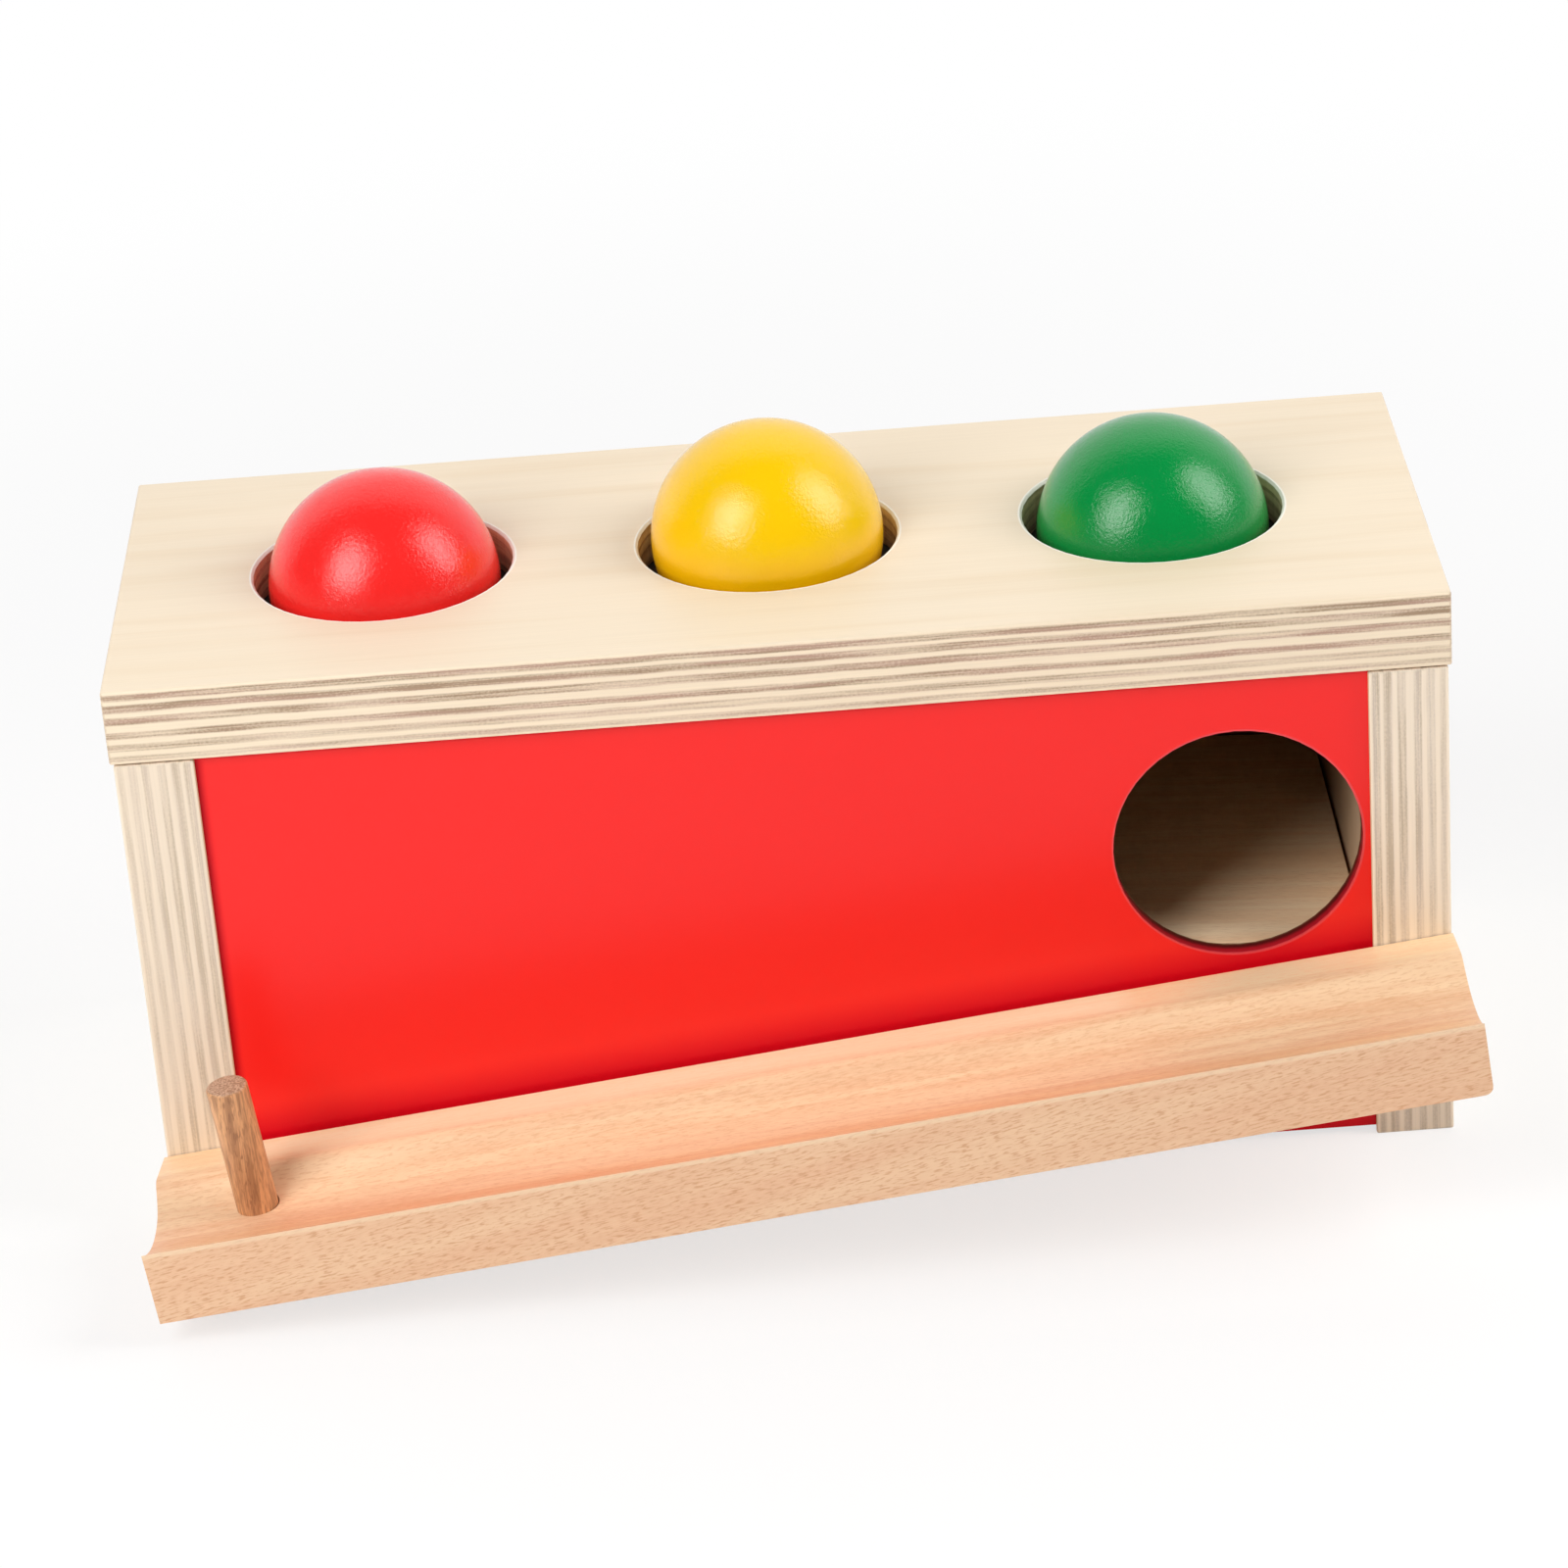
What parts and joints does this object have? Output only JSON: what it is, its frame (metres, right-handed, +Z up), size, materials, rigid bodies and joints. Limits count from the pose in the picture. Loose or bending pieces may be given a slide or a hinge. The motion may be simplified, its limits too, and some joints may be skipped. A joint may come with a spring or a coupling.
{
  "type": "ball pounding bench",
  "caption": "Wooden pounding bench with painted balls held in the holes of its top by rubber rings, a sloping floor with an exit hole in the front, and a grooved rail with a stop peg.",
  "frame": {"origin": "on the ground, under the middle of the part's bounding box", "axes": "+X to the right as seen from the front, along the rail to its high end; +Y to the back; +Z up"},
  "size_m": [0.3012, 0.1686, 0.1652],
  "materials": {
    "birch_plywood": "satin clear lacquer, banded edges",
    "red_board": "satin red lacquer",
    "plain_board": "bare, sanded",
    "beech": "satin clear lacquer",
    "dark_beech": "satin clear lacquer",
    "red_lacquer": "gloss red lacquer",
    "yellow_lacquer": "gloss yellow lacquer",
    "green_lacquer": "gloss green lacquer",
    "black_rubber": "matte",
    "screw_steel": "zinc plated"
  },
  "bodies": {
    "bench": {"top_panel": "birch_plywood", "left_side_panel": "birch_plywood", "right_side_panel": "birch_plywood", "front_panel": "red_board", "back_panel": "red_board", "ramp_board": "plain_board", "ring_retainer_board": "plain_board", "ramp_cleat_left": "beech", "ramp_cleat_right": "beech", "grip_ring_red": "black_rubber", "grip_ring_yellow": "black_rubber", "grip_ring_green": "black_rubber", "ball_rail": "beech", "stop_peg": "dark_beech", "top_dowel_1": "beech", "top_dowel_2": "beech", "top_dowel_3": "beech", "top_dowel_4": "beech", "rail_dowel_1": "beech", "rail_dowel_2": "beech", "retainer_screw_1": "screw_steel", "retainer_screw_2": "screw_steel", "retainer_screw_3": "screw_steel", "retainer_screw_4": "screw_steel", "retainer_screw_5": "screw_steel", "retainer_screw_6": "screw_steel", "retainer_screw_7": "screw_steel", "retainer_screw_8": "screw_steel", "cleat_screw_1": "screw_steel", "cleat_screw_2": "screw_steel", "cleat_screw_3": "screw_steel", "cleat_screw_4": "screw_steel"},
    "red_ball": {"ball_red": "red_lacquer"},
    "yellow_ball": {"ball_yellow": "yellow_lacquer"},
    "green_ball": {"ball_green": "green_lacquer"}
  },
  "joints": [
    {"name": "red_ball_slide", "type": "slide", "parent": "bench", "child": "red_ball", "axis": [0, 0, 1], "range_m": [-0.0447, 0.0365], "deforming": ["grip_ring_red"]},
    {"name": "yellow_ball_slide", "type": "slide", "parent": "bench", "child": "yellow_ball", "axis": [0, 0, 1], "range_m": [-0.0545, 0.0313], "deforming": ["grip_ring_yellow"]},
    {"name": "green_ball_slide", "type": "slide", "parent": "bench", "child": "green_ball", "axis": [0, 0, 1], "range_m": [-0.0533, 0.0372], "deforming": ["grip_ring_green"]}
  ]
}
